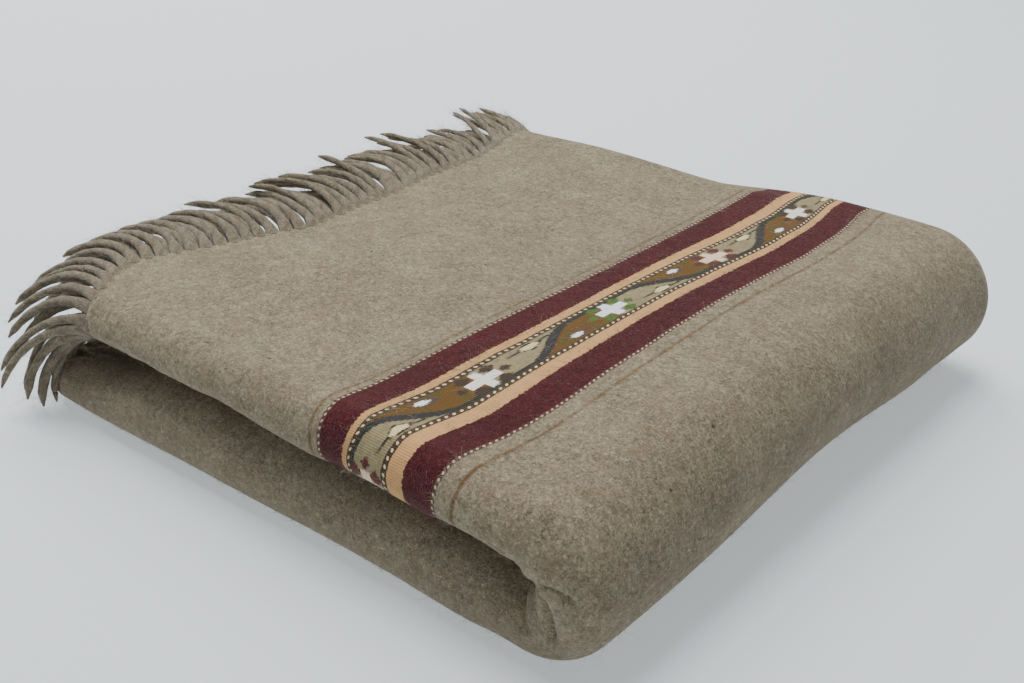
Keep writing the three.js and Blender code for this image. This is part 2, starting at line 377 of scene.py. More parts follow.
    def lower_height(self, x: Array, y: Array, across: Array, rise: Array, droop: Array) -> Array:
        """Return the heights of places of the lower pack.

        Args:
            x: Distances from the fringed edge.
            y: Distances from the near side.
            across: Distances along the leaf's cut.
            rise: Distances off the pack's middle, not squeezed.
            droop: How far the far left edge droops there, as a share.

        Returns:
            Heights above the floor.
        """
        loft = 1 + self.lower_loft * ramp(y, 15, 85) * ramp(x, 275, 165) * (1 - droop)
        thin = self.lower_squeeze * (1 - self.lower_droop_flat * droop)
        thin = thin * (1 - self.lower_end_flat * ramp(x, 60, -50)) * loft
        fuller = self.lower_fuller * ramp(y, 70, 10) * ramp(x, -20, 40) * (across < 0)
        fuller = 1 + fuller * ramp(x, 10, 70) * ramp(x, 290, 230)
        return thin * self.outer_rho + self.thickness / 2 - thin * rise * fuller

    def edge_wander(self, x: Array, level: Array) -> Array:
        """Return how far each leaf's far edge stands in or out of line."""
        return sum(height * np.sin(x / wave + level * shift) for wave, shift, height in self.edge_waves)

    def crease_height(self, station: Array, level: Array, across: Array) -> Array:
        """Return how far creases and faint ripples raise a leaf, which fade out on the inner ones.

        Args:
            station: Distances along the pack.
            level: Distances from the lengthwise fold's middle, in leaf pitches.
            across: Distances along the leaf's cut.

        Returns:
            Distances outward in millimetres.
        """
        height = np.zeros_like(station)
        for crease in self.creases:
            height = height + crease.at(station, across)
        wave = np.sin(station / 19.0 + 0.8 * np.sin(across / 31.0))
        near_fold = bell(across, 4, 34) * (station > 30)
        height = height + self.ripple * wave * near_fold
        return height * np.clip((level - 1.6) / 1.9, 0, 1)

    def normal(self, station: Array, level: Array, across: Array) -> Array:
        """Return the outward direction of the outer leaf at each place.

        Args:
            station: Distances along the pack.
            level: Distances from the lengthwise fold's middle, in leaf pitches.
            across: Distances along the leaf's cut.

        Returns:
            Directions of length one.
        """
        step = 0.5
        before, after = (self.smooth_place(station + way, level, across) for way in (-step, step))
        under, over = (self.smooth_place(station, level, across + way) for way in (-step, step))
        return unit(np.cross(after - before, over - under))

    def place(self, station: Array, level: Array, across: Array, above: float = 0.0) -> Array:
        """Place points on the folded leaves with their creases.

        Args:
            station: Distances along the pack.
            level: Distances from the lengthwise fold's middle, in leaf pitches.
            across: Distances along the leaf's cut.
            above: Distances above the leaf's middle plane.

        Returns:
            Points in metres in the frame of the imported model, one row each.
        """
        outward = self.normal(station, level, across)
        points = self.smooth_place(station, level, across)
        points = points + outward * self.crease_height(station, level, across)[..., None]
        points[..., 2] = np.maximum(points[..., 2], self.thickness / 2)
        return self.in_frame(points + outward * above)

    def in_frame(self, points: Array) -> Array:
        """Return points of this map, in millimetres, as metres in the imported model's frame.

        Args:
            points: Points of this map.

        Returns:
            The same points in metres.
        """
        low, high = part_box(CLOTH_NODE)
        turn_radius = (self.upper_turn_radius + self.lower_turn_radius) / 2
        turn_squeeze = (self.upper_squeeze + self.lower_squeeze) / 2
        fold_reach = self.fold_start + turn_radius + turn_squeeze * self.outer_rho + self.thickness / 2
        near_reach = self.lower_fold_y - self.lower_squeeze * self.outer_rho - self.thickness / 2
        shift = np.array([high.x - fold_reach * MM, low.y - near_reach * MM, 0.0])
        return points * MM + shift


class Wire:
    """A node's output. Python's arithmetic on it adds Math nodes."""

    def __init__(self, paint: "Paint", socket: bpy.types.NodeSocket) -> None:
        """Keep the tree and the socket.

        Args:
            paint: The tree in which nodes are added.
            socket: The output that this stands for.
        """
        self.paint = paint
        self.socket = socket

    def maths(self, operation: str, *operands: "Wire | float") -> "Wire":
        """Return a Math node's result on these operands."""
        inputs = dict(enumerate(operands))
        return self.paint.node("ShaderNodeMath", {"operation": operation}, inputs)

    def __add__(self, other: "Wire | float") -> "Wire":
        """Return the sum."""
        return self.maths("ADD", self, other)

    def __sub__(self, other: "Wire | float") -> "Wire":
        """Return the difference."""
        return self.maths("SUBTRACT", self, other)

    def __rsub__(self, other: float) -> "Wire":
        """Return the difference, the other way round."""
        return self.maths("SUBTRACT", other, self)

    def __mul__(self, other: "Wire | float") -> "Wire":
        """Return the product."""
        return self.maths("MULTIPLY", self, other)

    def __truediv__(self, other: "Wire | float") -> "Wire":
        """Return the quotient."""
        return self.maths("DIVIDE", self, other)

    def size(self) -> "Wire":
        """Return the value without its sign."""
        return self.maths("ABSOLUTE", self)

    def floor(self) -> "Wire":
        """Return the whole number below."""
        return self.maths("FLOOR", self)

    def fraction(self) -> "Wire":
        """Return the part after the point."""
        return self.maths("FRACT", self)

    def sine(self) -> "Wire":
        """Return the sine."""
        return self.maths("SINE", self)

    def lower_of(self, other: "Wire | float") -> "Wire":
        """Return the smaller of the two."""
        return self.maths("MINIMUM", self, other)

    def higher_of(self, other: "Wire | float") -> "Wire":
        """Return the larger of the two."""
        return self.maths("MAXIMUM", self, other)

    def eased(self, low: float, high: float) -> "Wire":
        """Return a smooth share, 0 at low and 1 at high, or the other way round if low is larger.

        Args:
            low: Value at which the share is 0.
            high: Value at which it is 1.

        Returns:
            The share.
        """
        start, end, first, last = (low, high, 0.0, 1.0) if low < high else (high, low, 1.0, 0.0)
        inputs = {"Value": self, "From Min": start, "From Max": end, "To Min": first, "To Max": last}
        return self.paint.node("ShaderNodeMapRange", {"interpolation_type": "SMOOTHSTEP"}, inputs)

    def inside(self, half: float, soft: float) -> "Wire":
        """Return 1 where the value's size is under half, with a soft edge."""
        return self.size().eased(half + soft, half - soft)

    def between(self, low: float, high: float, soft: float) -> "Wire":
        """Return 1 where the value lies between low and high, with soft edges."""
        return (self - (low + high) / 2).inside((high - low) / 2, soft)


Colour = tuple[float, float, float]
Tone = Wire | Colour


def dye(red: int, green: int, blue: int) -> Colour:
    """Turn a colour as seen on a screen into the linear values that shaders use.

    Args:
        red: Red from 0 to 255.
        green: Green from 0 to 255.
        blue: Blue from 0 to 255.

    Returns:
        The three linear values.
    """
    seen = [channel / 255 for channel in (red, green, blue)]
    linear = [c / 12.92 if c <= 0.04045 else ((c + 0.055) / 1.055) ** 2.4 for c in seen]
    return (linear[0], linear[1], linear[2])


class Paint:
    """A material's node tree, with one method that adds any node."""

    def __init__(self, name: str) -> None:
        """Make the material with its surface shader.

        Args:
            name: The material's name.
        """
        self.material = bpy.data.materials.new(name)
        self.material.use_nodes = True
        self.tree = self.material.node_tree
        self.surface = self.tree.nodes["Principled BSDF"]

    def node(self, kind: str, settings: dict[str, Any] | None = None,
             inputs: dict[int | str, Any] | None = None, output: int | str = 0) -> Wire:
        """Add a node.

        Args:
            kind: The node's type.
            settings: Its settings, set before the sockets; stops is a ramp's list of (place, colour).
            inputs: Values or wires for its sockets, by name or number.
            output: Name or number of the output that is returned.

        Returns:
            The output as a wire.
        """
        made = self.tree.nodes.new(kind)
        for name, value in (settings or {}).items():
            if name == "stops":
                self.set_stops(made, value)
            else:
                setattr(made, name, value)
        for name, value in (inputs or {}).items():
            self.feed(made.inputs[name], value)
        return Wire(self, made.outputs[output])

    def set_stops(self, made: bpy.types.Node, stops: list[tuple[float, Colour]]) -> None:
        """Give a colour ramp its stops.

        Args:
            made: The ramp's node.
            stops: Each stop's place and colour.
        """
        elements = made.color_ramp.elements
        while len(elements) < len(stops):
            elements.new(1.0)
        for element, (place, colour) in zip(elements, stops):
            element.position = place
            element.color = (*colour, 1.0)

    def feed(self, socket: bpy.types.NodeSocket, value: Any) -> None:
        """Link a wire to a socket, or set the socket's value.

        Args:
            socket: The input.
            value: The wire or the value.
        """
        if isinstance(value, Wire):
            self.tree.links.new(value.socket, socket)
        elif socket.type == "RGBA":
            socket.default_value = (*value, 1.0)
        else:
            socket.default_value = value

    def mix(self, share: Wire | float, low: Tone, high: Tone) -> Wire:
        """Return the colour a share of the way from low to high."""
        return self.node("ShaderNodeMix", {"data_type": "RGBA"}, {0: share, 6: low, 7: high}, 2)

    def layered(self, ground: Tone, *layers: tuple[Wire | float, Tone]) -> Tone:
        """Lay colours over a ground.

        Args:
            ground: The colour below them.
            layers: The share and the colour of each, from the lowest to the highest.

        Returns:
            The colour that is seen.
        """
        for share, tone in layers:
            ground = self.mix(share, ground, tone)
        return ground

    def scaled(self, vector: Wire, factor: float | tuple[float, float, float]) -> Wire:
        """Return a vector times a number, or times one number for each axis."""
        factors = (factor, factor, factor) if isinstance(factor, (int, float)) else factor
        return self.node("ShaderNodeVectorMath", {"operation": "MULTIPLY"}, {0: vector, 1: factors})

    def noise(self, vector: Wire, grain: float, detail: float = 2.0, rough: float = 0.5,
              curl: float = 0.0) -> Wire:
        """Return soft noise from 0 to 1.

        Args:
            vector: Places in millimetres.
            grain: Size of its grains in millimetres.
            detail: Number of finer layers.
            rough: How strong the finer layers are.
            curl: How far the grains are bent out of shape.

        Returns:
            The noise's value.
        """
        inputs = {"Vector": vector, "Scale": 1 / grain, "Detail": detail, "Roughness": rough}
        inputs["Distortion"] = curl
        return self.node("ShaderNodeTexNoise", {"noise_dimensions": "3D"}, inputs)

    def object_place(self) -> Wire:
        """Return the place on the object in millimetres."""
        return self.scaled(self.node("ShaderNodeTexCoord", output="Object"), 1 / MM)

    def map_place(self, factor: float | tuple[float, float, float]) -> tuple[Wire, Wire]:
        """Return the cloth's own map, along and across, times a number or one for each axis.

        Args:
            factor: The number, or one for each axis.

        Returns:
            The place along and the place across.
        """
        place = self.scaled(self.node("ShaderNodeUVMap", {"uv_map": CLOTH_MAP}), factor)
        along = self.node("ShaderNodeSeparateXYZ", inputs={0: place})
        return along, Wire(self, along.socket.node.outputs["Y"])

    def bump(self, height: Wire, distance: float) -> None:
        """Feed a relief of this height, in metres at 1, to the surface's normal."""
        inputs = {"Height": height, "Distance": distance, "Strength": 1.0}
        self.feed(self.surface.inputs["Normal"], self.node("ShaderNodeBump", inputs=inputs))

    def finish(self, **sockets: Any) -> bpy.types.Material:
        """Set or link the surface shader's sockets, with _ for a space, and return the material.

        Args:
            sockets: A value or a wire for each socket.

        Returns:
            The material.
        """
        for name, value in sockets.items():
            self.feed(self.surface.inputs[name.replace("_", " ")], value)
        return self.material


@dataclass(frozen=True)
class Heather:
    """Mottled wool: the tones that its fibres have together."""

    dark: Colour
    middle: Colour
    light: Colour
    warm: Colour
    fibre: Colour

    def colour(self, paint: Paint, place: Wire) -> tuple[Tone, Wire]:
        """Mix the tones over the surface.

        Args:
            paint: The material's tree.
            place: Places in millimetres.

        Returns:
            The colour, and the nap's height from 0 to 1.
        """
        fine = paint.noise(place, 1.3, 3, 0.75, 0.4)
        grain = paint.noise(place, 2.8, 3, 0.65, 0.6)
        blotch = paint.noise(place, 8.5, 3, 0.6, 0.8)
        broad = paint.noise(place, 42.0, 2, 0.5)
        tone = fine * 1.25 + grain * 0.8 + blotch * 0.45 + broad * 0.35 - 0.925
        stops = [(0.12, self.dark), (0.5, self.middle), (0.9, self.light)]
        ground = paint.node("ShaderNodeValToRGB", {"stops": stops}, {"Fac": tone})
        warmth = paint.noise(place, 9.0, 3, 0.6, 0.6).eased(0.47, 0.72)
        # Thin lines along a noise's middle value look like single fibres
        curls = (paint.noise(place, 4.1, 1, 0.4, 1.6) - 0.5).inside(0.012, 0.012)
        wisps = (paint.noise(place, 5.7, 1, 0.4, 2.0) - 0.46).inside(0.010, 0.010)
        strength = paint.noise(place, 2.0, 1).eased(0.45, 0.6)
        flecks = paint.noise(place, 0.9, 1).eased(0.66, 0.74)
        ground = paint.layered(
            ground, (warmth * 0.5, self.warm), (curls.higher_of(wisps) * strength * 0.5, self.fibre),
            (flecks * 0.5, self.fibre),
        )
        nap = fine * 0.5 + grain * 0.35 + blotch * 0.2 + curls * 0.15 + wisps * 0.12
        return ground, nap


WOOL = Heather(
    dark=dye(86, 77, 61), middle=dye(133, 122, 100), light=dye(176, 164, 139),
    warm=dye(133, 112, 88), fibre=dye(199, 189, 165),
)
MAROON = Heather(
    dark=dye(47, 6, 12), middle=dye(70, 14, 21), light=dye(92, 29, 35),
    warm=dye(67, 13, 32), fibre=dye(115, 58, 62),
)


@dataclass(frozen=True)
class BandChart:
    """The woven band, charted in millimetres from its middle line and along it."""

    centre: float = 211.5
    strip: float = 8.1
    inner_dots: float = 11.2
    peach: float = 17.0
    maroon: float = 32.6
    outer_dots: float = 34.7
    thin_line: float = 41.4
    line_shift: float = 2.0
    flower_spacing: float = 89.4
    first_flower: float = 78.9
    inner_pitch: float = 3.97
    outer_pitch: float = 3.3
    thread: float = 1.25
    soft_edge: float = 0.25


@dataclass(frozen=True)
class BandBend:
    """How the folded cloth draws the band out of its straight line, in millimetres."""

    # Stations of the band's outer and inner lines, from the left
    lines: tuple[float, ...] = (178.9, 194.5, 228.5, 244.1)
    # How far each line is drawn to the left: across, then one column for each line
    draws: Table = (
        (-60, 0, 0, 0, 0), (-14, 3.5, 7.5, 4.2, 4.5), (2, 4.2, 8.3, 4.9, 5.0), (10, 5.9, 7.4, 5.7, 4.6),
        (17, 6.4, 7.4, 5.0, 3.9), (25, 7.6, 7.9, 4.9, 3.3), (34, 8.4, 8.0, 4.1, 2.5),
        (45, 8.0, 7.0, 2.3, 0.6), (60, 6.9, 4.4, -0.1, -1.3), (75, 6.2, 3.6, 0, -2.1),
        (100, 4.1, 3.2, -0.1, -2.0), (120, 2.5, 1.4, 0, -1.3), (145, 1.2, 0.9, 0.3, -1.2),
        (175, -0.2, 0.5, 0.4, -0.4), (210, -0.6, 0.6, 0, -0.3), (250, -0.4, 0.7, -1.3, -0.6),
        (290, 0, -1.5, -3.2, -2.5), (330, 0.5, -1.2, -2.0, -0.6), (352, 2, 1.5, 1.5, 2.5),
        (372, 5, 4.5, 5.5, 6.5),
    )
    # How far the drawing reaches before the first line and past the last one
    reach: tuple[float, float] = (60.0, 50.0)

    def drift(self, station: Array, across: Array) -> Array:
        """Return how far the weave is drawn to the left at each place.

        Args:
            station: Distances along the pack.
            across: Distances along the outer leaf's cut.

        Returns:
            Distances in millimetres.
        """
        edges = (self.lines[0] - self.reach[0], *self.lines, self.lines[-1] + self.reach[1])
        drawn = np.zeros_like(station)
        for number, line in enumerate(self.lines):
            heights = [float(place == number + 1) for place in range(len(edges))]
            drawn = drawn + np.interp(station, edges, heights) * read_table(self.draws, across, number + 1)
        return drawn


class BandWeave:
    """The woven band's colours, drawn from the cloth's own map in the chart's millimetres."""

    def __init__(self, paint: Paint, chart: BandChart, along: Wire, across: Wire, place: Wire) -> None:
        """Work out the band's own coordinates.

        Args:
            paint: The cloth's material.
            chart: The band's sizes.
            along: Distance from the cloth's first end, in millimetres.
            across: Distance across the cloth, in millimetres.
            place: Places on the object in millimetres.
        """
        self.paint = paint
        self.chart = chart
        self.place = place
        wobble = (paint.noise(place, 1.4, 1) - 0.5) * 1.3
        slow = (paint.noise(place, 30.0, 1) - 0.5) * 0.9
        ends = along.lower_of(FLAT_LENGTH / MM - along)
        self.out = ends - chart.centre + slow
        self.across = across
        row = (across / chart.thread).floor()
        step = paint.node("ShaderNodeTexWhiteNoise", {"noise_dimensions": "1D"}, {"W": row}) - 0.5
        self.distance = self.out.size() + wobble * 0.3 + step * 0.7
        self.strip_out = self.out + 1.5 - (across - 78) * 0.0115
        self.strip_distance = self.strip_out.size() + wobble * 0.3 + step * 0.25
        thread_out = ((self.strip_out / chart.thread).floor() + 0.5) * chart.thread
        thread_across = (row + 0.5) * chart.thread
        self.cell_out = thread_out * 0.75 + self.strip_out * 0.25 + wobble * 0.85
        self.cell_across = thread_across * 0.7 + across * 0.3 + wobble * 0.8

    def diamond(self, along: Wire, aside: Wire, half_along: float, half_aside: float, soft: float) -> Wire:
        """Return 1 inside a lozenge round the place where both distances are 0.

        Args:
            along: Distance along the band.
            aside: Distance aside from its line.
            half_along: Half of its size along.
            half_aside: Half of its size aside.
            soft: How soft its edge is, as a share of its size.

        Returns:
            The share of the lozenge.
        """
        reach = along.size() / half_along + aside.size() / half_aside
        return reach.eased(1 + soft, 1 - soft)

    def oval(self, along: Wire, aside: Wire, half_along: float, half_aside: float, soft: float) -> Wire:
        """Return 1 inside an oval round the place where both distances are 0.

        Args:
            along: Distance along the band.
            aside: Distance aside from its line.
            half_along: Half of its size along.
            half_aside: Half of its size aside.
            soft: How soft its edge is, as a share of its size.

        Returns:
            The share of the oval.
        """
        wide = along / half_along
        high = aside / half_aside
        return (wide * wide + high * high).eased(1 + soft, 1 - soft)

    def dotted(self, aside: Wire, pitch: float, half: tuple[float, float], dark: Tone, light: Tone) -> Wire:
        """Return the colours of a line of slanting dots, like a cord of two colours.

        Args:
            aside: Distance from the line's own middle.
            pitch: Distance between two dots.
            half: Half a dot's size along the line and aside from it.
            dark: Colour between the dots.
            light: Colour of the dots.

        Returns:
            The line's colours.
        """
        place = ((self.across + aside * 0.5) / pitch + 100).fraction() - 0.5
        dot = self.oval(place * pitch, aside, *half, 0.5)
        return self.paint.mix(dot, dark, light)

    def repeat(self, shift: float) -> tuple[Wire, Wire]:
        """Divide the band into the chart's repeats.

        Args:
            shift: How far the repeats are shifted, in repeats.

        Returns:
            Each repeat's number, and the distance along the band from its middle.
        """
        steps = (self.cell_across - self.chart.first_flower) / self.chart.flower_spacing + shift
        number = steps.floor()
        return number, (steps - number - 0.5) * self.chart.flower_spacing

    def strip(self) -> Tone:
        """Return the colours of the patterned strip: fields, winding line, lozenges and flowers.

        Returns:
            The strip's colours.
        """
        paint = self.paint
        number, from_line = self.repeat(30)
        odd = (number * 0.5).fraction() * 2
        turned = 1 - odd * 2
        side = self.cell_out * turned

        way = from_line.eased(-21, 21) * 2 - 1
        line = side + way * 7.4
        slope = from_line.inside(13, 12)
        line_share = (line.size() - slope * 1.25).eased(1.8, 1.0)

        mottle = paint.noise(self.place, 4.5, 3, 0.6, 0.5).eased(0.4, 0.62)
        ochre = paint.mix(mottle, dye(98, 74, 28), dye(103, 69, 30))
        olive = paint.noise(self.place, 11.0, 1).eased(0.45, 0.65)
        ochre = paint.mix(olive * 0.6, ochre, dye(84, 76, 36))
        khaki = paint.mix(mottle, dye(152, 140, 106), dye(138, 126, 94))
        fields = paint.mix(line.eased(-0.3, 0.3), khaki, ochre)
        navy = paint.mix(slope * mottle, dye(44, 50, 44), dye(62, 50, 62))

        cream_along = from_line + 9.5
        cream_aside = side + 4.7
        tail = (cream_aside + cream_along * 0.06).inside(0.55, 0.3) * cream_along.inside(15, 1)
        outline = self.diamond(cream_along, cream_aside, 9.2, 3.5, 0.12)
        cream = self.oval(cream_along, cream_aside, 5.8, 1.9, 0.3)

        white_along = from_line - 13.5
        white_aside = side - 4.5
        shade = self.diamond(white_along - 1.6, white_aside + 0.3, 8.4, 3.6, 0.12)
        white = self.oval(white_along, white_aside, 4.2, 1.5, 0.3)
        fields = paint.layered(
            fields, (line_share, navy), (tail.higher_of(outline), dye(56, 52, 42)),
            (cream, dye(226, 211, 158)), (shade * 0.8, dye(84, 66, 62)), (white, dye(246, 247, 248)),
        )
        return self.flowers(fields)

    def flowers(self, fields: Tone) -> Tone:
        """Return the strip with the flowers and their leaves over its fields.

        Args:
            fields: The strip's colours without them.

        Returns:
            The strip's colours.
        """
        paint = self.paint
        number, along = self.repeat(30.5)
        aside = self.cell_out
        kind = (number / 3).fraction()
        green = kind.between(0.2, 0.5, 0.02)
        red = kind.eased(0.5, 0.55)
        before = along.eased(0.4, -0.4)
        ground = paint.mix(before, dye(148, 136, 104), dye(112, 78, 36))
        near = along.inside(12, 0.5) * aside.inside(6.3, 0.6)

        corner = self.diamond(along.size() - 7.8, aside.size() - 5.3, 4.9, 3.5, 0.16)
        tip = self.diamond(along.size() - 13.6, aside, 3.6, 2.5, 0.2)
        shadow = paint.noise(self.place, 3.0, 1).eased(0.5, 0.6)
        leaf = paint.layered(
            dye(66, 52, 42), (green, dye(78, 104, 44)), (red, dye(92, 44, 44)),
            (shadow * 0.35, dye(48, 50, 40)),
        )

        wide = along.inside(9.8, 0.35) * (aside.size() + along.size() * 0.06).eased(3.0, 2.5)
        high = aside.inside(6.8, 0.35) * (along.size() + aside.size() * 0.08).eased(3.3, 2.8)
        petal = paint.layered(dye(244, 238, 228), (green, dye(238, 243, 248)), (red, dye(240, 212, 180)))
        return paint.layered(
            fields, (near * 0.9, ground), (corner.higher_of(tip), leaf), (wide.higher_of(high), petal),
        )

    def ribs(self) -> Wire:
        """Return the fine ribs of the flat weave, from 0 in the grooves to 1."""
        return (self.across * (2 * math.pi / self.chart.thread)).sine() * 0.5 + 0.5

    def over(self, wool: Tone, maroon: Tone) -> tuple[Tone, Wire]:
        """Lay the band over the wool, with painted shade in the grooves between its ribs and partly along
        its thin line.

        Args:
            wool: The cloth's ground colour.
            maroon: The colour of the dark red bands.

        Returns:
            The cloth's colour, and the share of flat weave, which has ribs and no nap.
        """
        paint, chart = self.paint, self.chart
        soft = chart.soft_edge
        rib_groove_shade = 1 - self.ribs()
        tint = paint.noise(self.place, 3.5, 3, 0.65, 0.4).eased(0.38, 0.66)
        peach = paint.mix(tint, dye(212, 164, 110), dye(200, 156, 102))
        # Painted shade: the peach weave is darkened in the grooves between its ribs
        peach = paint.mix(rib_groove_shade.eased(0.55, 1.0) * 0.4, peach, dye(148, 116, 84))
        # The thin brown line is partly a brown thread and partly painted shade along a raised edge; it
        # varies at random and is stronger towards the near side
        line = ((self.out - chart.line_shift).size() - chart.thin_line).inside(0.9, 0.8)
        line_patchiness = paint.noise(self.place, 5.0, 3, 0.7).eased(0.34, 0.6)
        strong = (self.out.eased(-5, 5) * 0.2 + 0.8) * (self.across.eased(75, 20) * 0.45 + 1)
        line = (line * (line_patchiness * 0.6 + 0.25) * strong).lower_of(0.9)
        outer = self.dotted(self.out.size() - (chart.maroon + chart.outer_dots) / 2, chart.outer_pitch,
                            (0.76, 0.6), dye(84, 60, 50), dye(200, 182, 158))
        inner = self.dotted(self.strip_out.size() - (chart.strip + chart.inner_dots) / 2,
                            chart.inner_pitch, (0.86, 0.68), dye(70, 56, 42), dye(224, 206, 168))
        # Painted shade: the patterned strip is darkened a little in the grooves between its ribs
        strip = paint.mix(rib_groove_shade * 0.08, self.strip(), dye(60, 48, 36))
        flat = self.distance.inside(chart.peach, soft)
        colour = paint.layered(
            wool, (line, dye(100, 76, 46)),
            (self.distance.inside(chart.outer_dots, soft), outer),
            (self.distance.inside(chart.maroon, soft), maroon),
            (flat, peach),
            (self.strip_distance.inside(chart.inner_dots, soft), inner),
            (self.strip_distance.inside(chart.strip, soft), strip),
        )
        return colour, flat


@dataclass(frozen=True)
class ShawlFinish:
    """The cloth: fulled heather wool with a nap, sparse dark specks and the woven band."""

    roughness: float = 0.92
    sheen: float = 0.35
    relief: float = 0.0009
    speck_spacing: float = 26.0

    def material(self) -> bpy.types.Material:
        """Return the cloth's material.

        Returns:
            The material.
        """
        paint = Paint("fulled_wool")
        place = paint.object_place()
        along, across = paint.map_place(1 / MM)
        wool, nap = WOOL.colour(paint, place)
        inputs = {"Vector": place, "Scale": 1 / self.speck_spacing}
        specks = paint.node("ShaderNodeTexVoronoi", inputs=inputs, output="Distance")
        wool = paint.mix(specks.eased(0.045, 0.025) * 0.85, wool, dye(46, 38, 32))
        maroon, _ = MAROON.colour(paint, place)
        band = BandWeave(paint, BandChart(), along, across, place)
        colour, flat = band.over(wool, maroon)
        paint.bump(nap * (1 - flat * 0.7) + band.ribs() * flat * 0.18, self.relief)
        return paint.finish(Base_Color=colour, Roughness=self.roughness, Sheen_Weight=self.sheen,
                            Sheen_Tint=dye(214, 204, 190), Sheen_Roughness=0.45, Specular_IOR_Level=0.12)


@dataclass(frozen=True)
class YarnFinish:
    """The fringe: softly twisted heather wool yarn, with painted shade in the grooves of its twist."""

    ply_length: float = 15.0
    roughness: float = 0.93
    relief: float = 0.0011

    def material(self) -> bpy.types.Material:
        """Return the yarn's material.

        Returns:
            The material.
        """
        paint = Paint("fringe_yarn")
        place = paint.object_place()
        colour, nap = WOOL.colour(paint, place)
        along, round_yarn = paint.map_place((1 / MM, 1.0, 1.0))
        turn = (round_yarn * 2 - along / self.ply_length) * (2 * math.pi)
        groove = (turn.sine() * 0.5 + 0.5).eased(0.45, 0.0)
        streaks = paint.noise(place, 0.9, 2, 0.6, 1.0).eased(0.4, 0.68)
        # Painted shade: the grooves between the twisted plies are darkened; the yarn is also evenly a little
        # darker and has streaks of its own tone
        colour = paint.layered(
            colour, (groove * 0.32 + 0.1, dye(80, 70, 55)), (streaks * 0.4, dye(104, 94, 75)),
        )
        paint.bump(nap * 1.1 - groove * 0.35, self.relief)
        return paint.finish(Base_Color=colour, Roughness=self.roughness, Sheen_Weight=0.3,
                            Sheen_Roughness=0.45, Specular_IOR_Level=0.1)


@dataclass(frozen=True)
class HairFinish:
    """Stray fibres, pale wool or red by the piece's own dye attribute."""

    roughness: float = 0.8
    sheen: float = 0.3

    def material(self) -> bpy.types.Material:
        """Return the stray fibres' material.

        Returns:
            The material.
        """
        paint = Paint("stray_fibres")
        red = paint.node("ShaderNodeAttribute", {"attribute_name": DYE_ATTRIBUTE}, output="Fac")
        tone = paint.noise(paint.object_place(), 14.0, 2)
        wool = paint.mix(tone, dye(141, 129, 107), dye(194, 185, 165))
        fibre = paint.mix(red, wool, dye(114, 60, 66))
        return paint.finish(Base_Color=fibre, Roughness=self.roughness, Sheen_Weight=self.sheen,
                            Specular_IOR_Level=0.2)


def new_piece(name: str, bm: bmesh.types.BMesh, material: bpy.types.Material) -> bpy.types.Object:
    """Turn a bmesh into an object at the origin.

    Args:
        name: The piece's name.
        bm: Its mesh, which is freed.
        material: Its finish.

    Returns:
        The object, linked to the scene.
    """
    mesh = bpy.data.meshes.new(name)
    bm.to_mesh(mesh)
    bm.free()
    piece = bpy.data.objects.new(name, mesh)
    bpy.context.scene.collection.objects.link(piece)
    mesh.materials.append(material)
    mesh.shade_smooth()
    return piece


def points_of(mesh: bpy.types.Mesh) -> Array:
    """Return a mesh's points, one row each.

    Args:
        mesh: The mesh.

    Returns:
        Its points in metres.
    """
    values = np.empty(len(mesh.vertices) * 3)
    mesh.vertices.foreach_get("co", values)
    return values.reshape(-1, 3)


def move_points(mesh: bpy.types.Mesh, points: Array) -> None:
    """Move a mesh's points to these places."""
    mesh.vertices.foreach_set("co", points.astype(np.float32).ravel())
    mesh.update()


def set_map(mesh: bpy.types.Mesh, places: Array) -> None:
    """Give a mesh its own map from one place for each point.

    Args:
        mesh: The mesh.
        places: Each point's place on the map.
    """
    loops = np.empty(len(mesh.loops), dtype=np.int32)
    mesh.loops.foreach_get("vertex_index", loops)
    layer = mesh.uv_layers.get(CLOTH_MAP) or mesh.uv_layers.new(name=CLOTH_MAP)
    layer.uv.foreach_set("vector", places[loops].astype(np.float32).ravel())


def face_outward(piece: bpy.types.Object) -> None:
    """Turn every face of a piece of closed shells outward.

    Args:
        piece: The piece.
    """
    bm = bmesh.new()
    bm.from_mesh(piece.data)
    bmesh.ops.recalc_face_normals(bm, faces=bm.faces)
    bm.to_mesh(piece.data)
    bm.free()
    piece.data.shade_smooth()


def look_up(bm: bmesh.types.BMesh) -> None:
    """Let a bmesh's parts be found by number after a change."""
    for parts in (bm.verts, bm.edges, bm.faces):
        parts.ensure_lookup_table()


def rod(sides: int, tip: float, rings: int) -> bmesh.types.BMesh:
    """Build one straight closed rod along Z from 0 to 1, of radius 1 at its foot.

    Args:
        sides: How many sides it has.
        tip: Radius at its tip, 0 for a point.
        rings: How many stretches it is divided into.

    Returns:
        The rod.
    """
    bm = bmesh.new()
    bmesh.ops.create_cone(bm, cap_ends=True, segments=sides, radius1=1, radius2=tip, depth=1)
    bmesh.ops.translate(bm, vec=(0, 0, 0.5), verts=bm.verts)
    if tip == 0:
        bmesh.ops.remove_doubles(bm, verts=bm.verts, dist=1e-5)
    uprights = [edge for edge in bm.edges if abs(edge.verts[0].co.z - edge.verts[1].co.z) > 0.5]
    bmesh.ops.subdivide_edges(bm, edges=uprights, cuts=rings - 1, use_grid_fill=False)
    look_up(bm)
    return bm


def copies(bm: bmesh.types.BMesh, count: int) -> None:
    """Repeat what a bmesh holds until it is there count times, in the same order each time.

    Args:
        bm: The bmesh, which holds one shape.
        count: How many of it are wanted.
    """
    verts, edges, faces = len(bm.verts), len(bm.edges), len(bm.faces)
    made = 1
    while made < count:
        more = min(made, count - made)
        chosen = bm.verts[:more * verts] + bm.edges[:more * edges] + bm.faces[:more * faces]
        bmesh.ops.duplicate(bm, geom=chosen)
        look_up(bm)
        made += more


